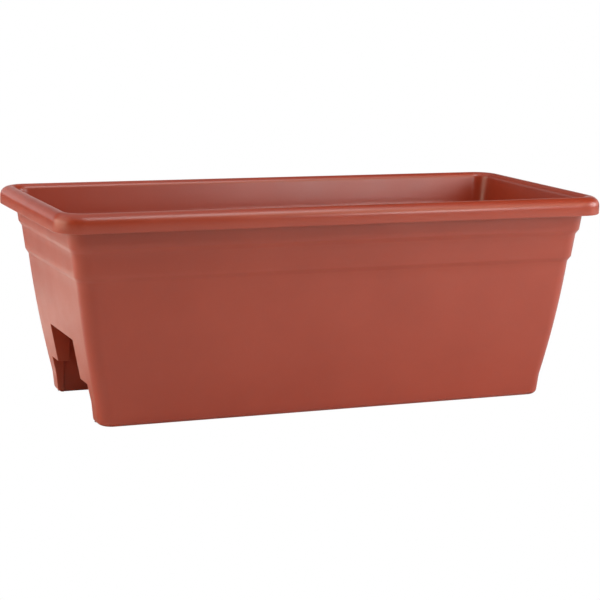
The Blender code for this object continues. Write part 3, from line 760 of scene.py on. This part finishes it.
SHAFT_SIZE = (0.034, 0.017)
SHAFT_WALL = 0.0016
SHAFT_CORNER = 0.004
SHAFT_TOP = 0.184
SHAFT_FLANGE_WIDTH = 0.003
NOTCH_HALF = 0.003
NOTCH_STRAIGHT = 0.0101
NOTCH_PITCH = 0.016
LID_THICKNESS = 0.002
LID_OVERHANG = 0.0018
LID_RING_DEPTH = 0.003
LID_RING_WALL = 0.0012
LID_RING_EASE = 0.0008
LID_RING_CORNERS = (0.002, 0.001)  # outside and inside
LID_CORNER = 0.0025
TAB_HALF_SIZE = (0.003, 0.005)
TAB_CORNER = 0.0024
TAB_OUT = 0.001
TAB_INSET = 0.0002
HINGE_OUT = 0.0036
HINGE_X = SHAFT_X - SHAFT_SIZE[0] / 2 - HINGE_OUT
LID_BOTTOM = SHAFT_TOP + GAP
HINGE_Z = LID_BOTTOM + LID_THICKNESS / 2
KNUCKLE_RADIUS = 0.0025
KNUCKLE_LENGTH = 0.0092
LUG_THICKNESS = 0.0025
LUG_ROOT_DROP = 0.0095
LUG_NOSE = (0.0006, 0.0042)  # how far in from the knuckle's side and down from the hinge
LUG_CROWN_DROP = 0.0002
LUG_TOP_DROP = 0.0004
PIN_RADIUS = 0.0012
PIN_END_ROUND = ((0.0004, 0), (0.0001, 0.0001), (0, 0.0004))  # how far in, how far from the end
PIN_BORE_RADIUS = 0.0015
SHAFT_CUT_REACH = 0.02
KNUCKLE_WEB_OVER = 0.002
KNUCKLE_WEB_INSET = (0.0002, 0.0001)  # in from the knuckle's ends, and from the lid's faces

FLOAT_SIZE = (0.0276, 0.0118)
FLOAT_HEIGHT = 0.022
FLOAT_CORNER = 0.0035
FLOAT_EDGE_ROUND = ((0.0022, 0), (0.0008, 0.0003), (0.0002, 0.0009), (0, 0.0018))  # how far in, how far up
STICK_RADIUS = 0.0017
STICK_TOP = 0.135
STICK_ROOT_DEPTH = 0.004
STICK_GROOVES = (0.075, 0.092, 0.109)
STICK_GROOVE_DEPTH = 0.0004
STICK_GROOVE_FLAT = (0.0004, 0.0012)
STICK_GROOVE_WIDTH = 0.0016
STICK_CROWN = ((1, 0.0014), (0.85, 0.0006), (0.5, 0.0001), (0.2, 0))  # share of the radius, how far down
TIP_START = STICK_TOP - 0.0142
TIP_FULL = STICK_TOP - 0.0138

SEAL_TOP = DRAIN_RECESS_DEPTH - GAP
SEAL_THICKNESS = 0.0012
SEAL_RADIUS = 0.0068
HEAD_TOP = SEAL_TOP - SEAL_THICKNESS - GAP
HEAD_THICKNESS = 0.0016
HEAD_RADIUS = 0.0072
HEAD_LOWER_ROUND = ((0.0005, 0), (0.0001, 0.0002), (0, 0.0005))  # how far in, how far up
HEAD_UPPER_ROUND = 0.0002
SHANK_RADIUS = 0.0042
SHANK_WAIST = SHANK_RADIUS - 0.0002
SHANK_WAIST_LENGTH = 0.0020
PLUG_RIBS = (0.0058, 0.0078)
PLUG_RIB_FRONT = 0.0003
PLUG_RIB_BACK = (0.0003, 0.0011)  # how far in, how far up
PLUG_TIP = 0.0115
PLUG_TIP_TAPER = ((0.0004, 0.0012), (0.0012, 0.0002), (0.0020, 0))  # how far in, how far down
GRIP_HALF_SIZE = (0.0050, 0.0012)
GRIP_CORNER = 0.0010
GRIP_BELOW = 0.0012
GRIP_INTO_HEAD = 0.0008
SEAL_ARC_STEPS = 6


def make_platform(name, side, material):
    """The false floor over one trough, with a skirt, four windows and two rows of slots."""
    inner_y = HUMP_NARROW_HALF + 2 * GAP
    middle = (0, side * (inner_y + PLATFORM_OUTER_Y) / 2)
    half_y = (PLATFORM_OUTER_Y - inner_y) / 2
    outline = rounded_rectangle(PLATFORM_HALF_LENGTH, half_y, PLATFORM_CORNER, middle)
    sizes = [size - SKIRT_THICKNESS for size in (PLATFORM_HALF_LENGTH, half_y, PLATFORM_CORNER)]
    hollow = rounded_rectangle(*sizes, middle)
    solid_plate = loft([(outline, PLATFORM_BOTTOM), (outline, PLATFORM_TOP)])
    platform = mesh_object(f"{name}_platform_plate", solid_plate)
    plate_bottom = PLATFORM_TOP - PLATFORM_PLATE
    below = PLATFORM_BOTTOM - 2 * CUT_MARGIN
    boolean(platform, "DIFFERENCE", loft([(hollow, below), (hollow, plate_bottom)]))
    low_z, high_z = plate_bottom - CUT_MARGIN, PLATFORM_TOP + CUT_MARGIN
    windows = [(x, *BASKET_TOP_SIZE) for x in BASKET_PLACES.values()] + [(SHAFT_X, *SHAFT_SIZE)]
    cuts = []
    for x, length, width in windows:
        half_size = (length / 2 + WINDOW_EASE, width / 2 + WINDOW_EASE)
        window = rounded_rectangle(*half_size, WINDOW_CORNER, (x, side * LINE_Y), steps=6)
        cuts.append(loft([(window, low_z), (window, high_z)]))
    boolean(platform, "DIFFERENCE", merged(cuts))
    slot_end = SLOT_WIDTH / 2 - NEARLY_ROUND
    for row_y in SLOT_ROWS:
        slot = rounded_rectangle(SLOT_LENGTH / 2, SLOT_WIDTH / 2, slot_end, (0, side * row_y), steps=5)
        row = row_of(loft([(slot, low_z), (slot, high_z)]), SLOT_COUNT, (SLOT_PITCH, 0, 0), material)
        boolean(platform, "DIFFERENCE", row)
    soften(platform, PLATFORM_EDGE)
    finish(platform, f"{name}_watering_unit", f"{name}_soil_platform", material, "black_plastic")


def make_basket(name, place_name, x, y, material):
    """A tapering cup with a flange, four slots in its long sides, one in each end and two in its floor."""

    def cup_ring(z, inward):
        share = (z - FOOT_Z) / (PLATFORM_TOP - FOOT_Z)
        half = [(foot + (top - foot) * share) / 2 for foot, top in zip(BASKET_FOOT_SIZE, BASKET_TOP_SIZE)]
        corner = BASKET_CORNER - inward / 2
        return rounded_rectangle(half[0] - inward, half[1] - inward, corner, (x, y), steps=8), z

    flange_half = [size / 2 + FLANGE_WIDTH for size in BASKET_TOP_SIZE]
    flange = rounded_rectangle(*flange_half, FLANGE_CORNER, (x, y), steps=8)
    rings = [cup_ring(FOOT_Z, 0), cup_ring(FLANGE_BOTTOM, 0), (flange, FLANGE_BOTTOM), (flange, FLANGE_TOP)]
    rings += [cup_ring(FLANGE_TOP, BASKET_WALL), cup_ring(FOOT_Z + BASKET_WALL, BASKET_WALL)]
    basket = mesh_object(f"{name}_basket_{place_name}", loft(rings))

    corner = BASKET_SLOT_HALF * BASKET_SLOT_ROUNDNESS
    half_height = (BASKET_SLOT_HIGH - BASKET_SLOT_LOW) / 2
    middle = (x, (BASKET_SLOT_LOW + BASKET_SLOT_HIGH) / 2)
    upright = rounded_rectangle(BASKET_SLOT_HALF, half_height, corner, middle, steps=4)
    through_sides = prism(upright, 1, y - BASKET_CUT_REACH[1], y + BASKET_CUT_REACH[1])
    side_slots = row_of(through_sides, BASKET_SLOT_COUNT, (BASKET_SLOT_PITCH, 0, 0), material)
    boolean(basket, "DIFFERENCE", side_slots)
    upright = [(px - x + y, pz) for px, pz in upright]
    boolean(basket, "DIFFERENCE", prism(upright, 0, x - BASKET_CUT_REACH[0], x + BASKET_CUT_REACH[0]))
    floor_slot = rounded_rectangle(BASKET_FLOOR_SLOT_HALF, BASKET_SLOT_HALF, corner, (x, y), steps=4)
    through_floor = loft([(floor_slot, 0), (floor_slot, BASKET_FLOOR_CUT_TOP)])
    boolean(basket, "DIFFERENCE", row_of(through_floor, 2, (0, BASKET_FLOOR_SLOT_PITCH, 0), material))
    soften(basket, SMALL_EDGE)
    finish(basket, f"{name}_watering_unit", f"{name}_wick_basket_{place_name}", material, "black_plastic")


def hinge_bore(y):
    """The rod that cuts the pin's bore, in the lugs and in the knuckle."""
    start = (HINGE_X, y - SHAFT_CUT_REACH, HINGE_Z)
    end = (HINGE_X, y + SHAFT_CUT_REACH, HINGE_Z)
    return add_rod(bmesh.new(), PIN_BORE_RADIUS, start, end, sides=32)


def hinge_lug():
    """The outline, as (x, z), of a lug that holds an end of the lid's pin."""
    root_x = SHAFT_X - SHAFT_SIZE[0] / 2 + SHAFT_WALL / 2
    nose_in, nose_drop = LUG_NOSE
    lug = [(root_x, HINGE_Z - LUG_ROOT_DROP), (HINGE_X - KNUCKLE_RADIUS + nose_in, HINGE_Z - nose_drop)]
    crown_z = HINGE_Z - LUG_CROWN_DROP
    for n in range(13):
        angle = math.pi + math.pi * n / 12
        lug.append((HINGE_X + KNUCKLE_RADIUS * math.cos(angle), crown_z - KNUCKLE_RADIUS * math.sin(angle)))
    top = SHAFT_TOP - LUG_TOP_DROP
    return lug + [(HINGE_X + KNUCKLE_RADIUS, top), (root_x, top)]


def feed_notch():
    """The outline, as (x, z), of an arched notch that lets the water out at the shaft's foot."""
    notch = [(-NOTCH_HALF, 0.0), (NOTCH_HALF, 0.0), (NOTCH_HALF, NOTCH_STRAIGHT)]
    for n in range(1, 10):
        angle = math.pi * n / 10
        notch.append((NOTCH_HALF * math.cos(angle), NOTCH_STRAIGHT + NOTCH_HALF * math.sin(angle)))
    notch.append((-NOTCH_HALF, NOTCH_STRAIGHT))
    return [(SHAFT_X + x, z) for x, z in notch]


def make_shaft(name, y, material):
    """The upright tube with its flange, two hinge lugs and the notches at its foot."""
    half_x, half_y = SHAFT_SIZE[0] / 2, SHAFT_SIZE[1] / 2
    centre = (SHAFT_X, y)

    def tube(outward):
        return rounded_rectangle(half_x + outward, half_y + outward, SHAFT_CORNER + outward, centre, steps=8)

    outside, inside, flange = tube(0), tube(-SHAFT_WALL), tube(SHAFT_FLANGE_WIDTH)
    rings = [(outside, FOOT_Z), (outside, FLANGE_BOTTOM), (flange, FLANGE_BOTTOM), (flange, FLANGE_TOP)]
    rings += [(outside, FLANGE_TOP), (outside, SHAFT_TOP)]
    shaft = mesh_object(f"{name}_shaft_tube", loft(rings))
    lug_inner = KNUCKLE_LENGTH / 2 + GAP
    for end in (1, -1):
        y0, y1 = sorted((y + end * lug_inner, y + end * (lug_inner + LUG_THICKNESS)))
        boolean(shaft, "UNION", prism(hinge_lug(), 1, y0, y1))
    boolean(shaft, "DIFFERENCE", loft([(inside, 0), (inside, SHAFT_TOP + SHAFT_CUT_REACH)]))
    boolean(shaft, "DIFFERENCE", hinge_bore(y))
    notch = prism(feed_notch(), 1, y - SHAFT_CUT_REACH, y + SHAFT_CUT_REACH)
    boolean(shaft, "DIFFERENCE", row_of(notch, 2, (NOTCH_PITCH, 0, 0), material))
    soften(shaft, SMALL_EDGE)
    finish(shaft, f"{name}_watering_unit", f"{name}_fill_shaft", material, "terracotta")


def make_lid(name, y, material):
    """The flap with its ring, finger tab and hinge knuckle."""
    half_x, half_y = SHAFT_SIZE[0] / 2 + LID_OVERHANG, SHAFT_SIZE[1] / 2 + LID_OVERHANG
    near, far = HINGE_X + HINGE_OUT, SHAFT_X + half_x
    top = LID_BOTTOM + LID_THICKNESS
    plate = rounded_rectangle((far - near) / 2, half_y, LID_CORNER, ((near + far) / 2, y), steps=6)
    lid = mesh_object(f"{name}_lid_flap", loft([(plate, LID_BOTTOM), (plate, top)]))
    bore = [size / 2 - SHAFT_WALL for size in SHAFT_SIZE]
    outlines = []
    for inset, corner in zip((LID_RING_EASE, LID_RING_EASE + LID_RING_WALL), LID_RING_CORNERS):
        outlines.append(rounded_rectangle(bore[0] - inset, bore[1] - inset, corner, (SHAFT_X, y), steps=6))
    ring, hollow = outlines
    ring_bottom = LID_BOTTOM - LID_RING_DEPTH
    boolean(lid, "UNION", loft([(ring, ring_bottom), (ring, LID_BOTTOM + LID_THICKNESS / 2)]))
    boolean(lid, "DIFFERENCE", loft([(hollow, ring_bottom - 2 * CUT_MARGIN), (hollow, LID_BOTTOM)]))
    tab = rounded_rectangle(*TAB_HALF_SIZE, TAB_CORNER, (far + TAB_OUT, y), steps=6)
    boolean(lid, "UNION", loft([(tab, LID_BOTTOM + TAB_INSET), (tab, top - TAB_INSET)]))
    start, end = y - KNUCKLE_LENGTH / 2, y + KNUCKLE_LENGTH / 2
    knuckle = add_rod(bmesh.new(), KNUCKLE_RADIUS, (HINGE_X, start, HINGE_Z), (HINGE_X, end, HINGE_Z))
    boolean(lid, "UNION", knuckle)
    in_y, in_z = KNUCKLE_WEB_INSET
    web_low = (HINGE_X, start + in_y, LID_BOTTOM + in_z)
    boolean(lid, "UNION", block(web_low, (near + KNUCKLE_WEB_OVER, end - in_y, top - in_z)))
    boolean(lid, "DIFFERENCE", hinge_bore(y))
    soften(lid, SMALL_EDGE)
    finish(lid, f"{name}_lid", f"{name}_fill_lid", material, "terracotta")


def make_pin(name, y, material):
    """The hinge pin, from one lug's outer face to the other's."""
    half_pin = KNUCKLE_LENGTH / 2 + GAP + LUG_THICKNESS
    pin_profile = [(PIN_RADIUS - inward, -half_pin + along) for inward, along in PIN_END_ROUND]
    pin_profile += [(radius, -z) for radius, z in reversed(pin_profile)]
    bm = turned(pin_profile, sides=32)
    bmesh.ops.transform(bm, matrix=Matrix.Rotation(math.pi / 2, 4, "X"), verts=bm.verts)
    pin = mesh_object(f"{name}_hinge_pin", moved(bm, (HINGE_X, y, HINGE_Z)))
    pin.data.shade_smooth()
    pin.data.set_sharp_from_angle(angle=math.radians(50))
    finish(pin, f"{name}_watering_unit", f"{name}_lid_pin", material, "steel")


def make_float(name, y, material):
    """The float with its stick, which has three grooves and a domed top."""
    bottom = FOOT_Z + GAP
    rings = [*FLOAT_EDGE_ROUND]
    rings += [(inset, FLOAT_HEIGHT - z) for inset, z in reversed(FLOAT_EDGE_ROUND)]
    outlines = []
    for inset, z in rings:
        half_size = [size / 2 - inset for size in FLOAT_SIZE]
        outline = rounded_rectangle(*half_size, FLOAT_CORNER - inset, (SHAFT_X, y), steps=8)
        outlines.append((outline, bottom + z))
    body = mesh_object(f"{name}_float_and_stick", loft(outlines))
    stick = [(STICK_RADIUS, bottom + FLOAT_HEIGHT - STICK_ROOT_DEPTH)]
    groove_radius = STICK_RADIUS - STICK_GROOVE_DEPTH
    for low_z in STICK_GROOVES:
        stick.append((STICK_RADIUS, low_z))
        stick += [(groove_radius, low_z + along) for along in STICK_GROOVE_FLAT]
        stick.append((STICK_RADIUS, low_z + STICK_GROOVE_WIDTH))
    stick += [(STICK_RADIUS * share, STICK_TOP - drop) for share, drop in STICK_CROWN]
    boolean(body, "UNION", moved(turned(stick, sides=32), (SHAFT_X, y, 0)))
    body.data.shade_smooth()
    body.data.set_sharp_from_angle(angle=math.radians(40))
    finish(body, f"{name}_float", f"{name}_level_float", material, "pale_foam")


def make_plug(name, y, material):
    """The push plug: a head with a finger grip under it, and a shank with two soft ribs."""
    head_bottom = HEAD_TOP - HEAD_THICKNESS
    profile = [(HEAD_RADIUS - inward, head_bottom + rise) for inward, rise in HEAD_LOWER_ROUND]
    profile += [(HEAD_RADIUS, HEAD_TOP - HEAD_UPPER_ROUND), (HEAD_RADIUS - HEAD_UPPER_ROUND, HEAD_TOP)]
    profile += [(SHANK_WAIST, HEAD_TOP), (SHANK_WAIST, HEAD_TOP + SHANK_WAIST_LENGTH)]
    back_in, back_rise = PLUG_RIB_BACK
    for rib in PLUG_RIBS:
        profile += [(SHANK_WAIST, rib), (SHANK_RADIUS, rib + PLUG_RIB_FRONT)]
        profile.append((SHANK_RADIUS - back_in, rib + back_rise))
    profile += [(SHANK_RADIUS - inward, PLUG_TIP - drop) for inward, drop in PLUG_TIP_TAPER]
    plug = mesh_object(f"{name}_push_plug", moved(turned(profile), (DRAIN_X, y, 0)))
    grip = rounded_rectangle(*GRIP_HALF_SIZE, GRIP_CORNER, (DRAIN_X, y), steps=5)
    boolean(plug, "UNION", loft([(grip, head_bottom - GRIP_BELOW), (grip, head_bottom + GRIP_INTO_HEAD)]))
    soften(plug, PLUG_EDGE, angle=50)
    finish(plug, f"{name}_drain", f"{name}_drain_plug", material, "black_plastic")


def make_seal(name, y, material):
    """The plug's washer, rounded at its outer and inner edges."""
    inner = SHANK_RADIUS + GAP
    low = SEAL_TOP - SEAL_THICKNESS
    half = SEAL_THICKNESS / 2
    section = []
    for hub_radius, start in ((SEAL_RADIUS - half, -90), (inner + half, 90)):
        for n in range(SEAL_ARC_STEPS + 1):
            angle = math.radians(start + 180 * n / SEAL_ARC_STEPS)
            section.append((hub_radius + half * math.cos(angle), low + half + half * math.sin(angle)))
    seal = mesh_object(f"{name}_seal_ring", moved(turned_ring(section), (DRAIN_X, y, 0)))
    seal.data.shade_smooth()
    finish(seal, f"{name}_drain", f"{name}_plug_seal", material, "grey_rubber")


# ---------------------------------------------------------------- stage

FLOOR_GREY = 0.85
FLOOR_GLOW = 1.0  # the camera sees the floor as plain white, so that it has no horizon
FLOOR_DROP = 0.0003
FLOOR_HALF_SIZE = 30
CAMERA_TURN = (-0.38877, 0.17910, 0.01927)  # azimuth, elevation and roll, in radians
CAMERA_PLACE = (-0.73925, -1.80973, 0.45587)
CAMERA_LENS = 108.36
CAMERA_SENSOR = 36


def make_stage():
    """A pale floor: card that the lights see, plain white to the camera, and clear from below."""
    bm = bmesh.new()
    bmesh.ops.create_grid(bm, x_segments=1, y_segments=1, size=FLOOR_HALF_SIZE)
    bmesh.ops.translate(bm, vec=(0, 0, -FLOOR_DROP), verts=bm.verts)
    floor = mesh_object("floor", bm)
    material = bpy.data.materials.new("floor_white")
    material.use_nodes = True
    nodes, links = material.node_tree.nodes, material.node_tree.links
    card = nodes["Principled BSDF"]
    card.inputs["Base Color"].default_value = (FLOOR_GREY, FLOOR_GREY, FLOOR_GREY, 1)
    card.inputs["Roughness"].default_value = 0.9
    white = nodes.new("ShaderNodeEmission")
    white.inputs["Strength"].default_value = FLOOR_GLOW
    clear = nodes.new("ShaderNodeBsdfTransparent")
    seen = nodes.new("ShaderNodeMixShader")
    links.new(nodes.new("ShaderNodeLightPath").outputs["Is Camera Ray"], seen.inputs[0])
    links.new(card.outputs[0], seen.inputs[1])
    links.new(white.outputs[0], seen.inputs[2])
    sided = nodes.new("ShaderNodeMixShader")
    links.new(nodes.new("ShaderNodeNewGeometry").outputs["Backfacing"], sided.inputs[0])
    links.new(seen.outputs[0], sided.inputs[1])
    links.new(clear.outputs[0], sided.inputs[2])
    links.new(sided.outputs[0], nodes["Material Output"].inputs["Surface"])
    floor.data.materials.append(material)


def make_camera():
    azimuth, elevation, roll = CAMERA_TURN
    right = Vector((math.cos(azimuth), math.sin(azimuth), 0))
    level = math.cos(elevation)
    back = Vector((math.sin(azimuth) * level, -math.cos(azimuth) * level, math.sin(elevation)))
    up = back.cross(right)
    turned_right = math.cos(roll) * right + math.sin(roll) * up
    turned_up = -math.sin(roll) * right + math.cos(roll) * up
    data = bpy.data.cameras.new("camera")
    data.lens = CAMERA_LENS
    data.sensor_width = CAMERA_SENSOR
    camera = bpy.data.objects.new("camera", data)
    place = Matrix((turned_right, turned_up, back)).transposed().to_4x4()
    place.translation = CAMERA_PLACE
    camera.matrix_world = place
    bpy.context.scene.collection.objects.link(camera)
    bpy.context.scene.camera = camera


def soft_light(name, place, aim, size, power, colour=(1, 1, 1), spread=180):
    data = bpy.data.lights.new(name, "AREA")
    data.shape = "RECTANGLE"
    data.size, data.size_y = size
    data.energy = power
    data.color = colour
    data.spread = math.radians(spread)
    light = bpy.data.objects.new(name, data)
    light.location = place
    light.rotation_euler = (Vector(aim) - Vector(place)).to_track_quat("-Z", "Y").to_euler()
    bpy.context.scene.collection.objects.link(light)


BACKDROP = 0.76  # the brightness of the backdrop, low behind the box
# Axis of the view's direction, where the backdrop is dark on it, where it is bright, and how bright.
BACKDROP_FADES = (("Y", -0.25, 0.45, BACKDROP), ("Z", 0.45, 0.10, 1.0))
WARM = (1, 0.80, 0.60)
CREAM = (1, 0.90, 0.78)
# Name, place, aim, size and power, and for some a colour and an angle of spread in degrees.
LIGHTS = (
    ("ceiling_panel", (0, -0.2, 1.6), (0, 0, 0), (1.5, 1.2), 4.0),
    ("ceiling_front", (0.3, -0.75, 1.5), (0.05, -0.1, 0), (0.8, 0.6), 5.9),
    ("ceiling_back", (-0.2, 0.9, 1.4), (0, 0, 0.1), (1.5, 1.0), 2.4),
    ("low_panel", (0.58, -1.0, 0.40), (0.1, 0.1, 0.2), (0.35, 0.25), 2.1),
    ("right_window", (0.9, -1.3, 1.2), (0.1, 0, 0.1), (1, 1), 6.0, WARM),
    ("right_panel", (1.3, -0.4, 0.5), (0.2, 0, 0.15), (0.8, 0.6), 7.2),
    ("left_window", (-1.3, 0.15, 0.35), (-0.3, 0, 0.12), (1.4, 0.8), 8.5, WARM),
    ("left_ceiling", (-1.1, 0.2, 1.0), (0.1, 0, 0.15), (1.2, 0.9), 3.8, CREAM),
    ("left_pool", (-0.5, 0.45, 0.8), (-0.42, 0.32, 0), (0.3, 0.3), 0.42, CREAM, 50),
)


def make_lights():
    """Soft panels round a dark room with a pale backdrop low behind the box. The camera sees only white."""
    world = bpy.data.worlds.new("studio_room")
    world.use_nodes = True
    nodes, links = world.node_tree.nodes, world.node_tree.links
    place = nodes.new("ShaderNodeTexCoord")
    parts = nodes.new("ShaderNodeSeparateXYZ")
    links.new(place.outputs["Generated"], parts.inputs[0])
    backdrop = nodes.new("ShaderNodeMath")
    backdrop.operation = "MULTIPLY"
    for index, (axis, dark, bright, full) in enumerate(BACKDROP_FADES):
        share = nodes.new("ShaderNodeMapRange")
        share.interpolation_type = "SMOOTHSTEP"
        share.inputs["From Min"].default_value = dark
        share.inputs["From Max"].default_value = bright
        share.inputs["To Max"].default_value = full
        links.new(parts.outputs[axis], share.inputs["Value"])
        links.new(share.outputs[0], backdrop.inputs[index])
    room = nodes["Background"]
    room.inputs["Color"].default_value = (1, 1, 1, 1)
    links.new(backdrop.outputs[0], room.inputs["Strength"])
    seen = nodes.new("ShaderNodeBackground")
    seen.inputs["Color"].default_value = (1, 1, 1, 1)
    path = nodes.new("ShaderNodeLightPath")
    choose = nodes.new("ShaderNodeMixShader")
    links.new(path.outputs["Is Camera Ray"], choose.inputs[0])
    links.new(room.outputs[0], choose.inputs[1])
    links.new(seen.outputs[0], choose.inputs[2])
    links.new(choose.outputs[0], nodes["World Output"].inputs["Surface"])
    bpy.context.scene.world = world
    for light in LIGHTS:
        soft_light(*light)
    bpy.context.scene.view_settings.view_transform = "Standard"


def main():
    make_camera()
    terracotta = terracotta_plastic()
    black = black_plastic()
    pale = float_plastic()
    rubber = seal_rubber()
    steel = pin_steel()
    make_box(terracotta)
    for name, side in SIDES:
        y = side * LINE_Y
        make_platform(name, side, black)
        for place_name, x in BASKET_PLACES.items():
            make_basket(name, place_name, x, y, black)
        make_shaft(name, y, terracotta)
        make_lid(name, y, terracotta)
        make_pin(name, y, steel)
        make_float(name, y, pale)
        make_plug(name, side * DRAIN_Y, black)
        make_seal(name, side * DRAIN_Y, rubber)
    make_stage()
    make_lights()


main()
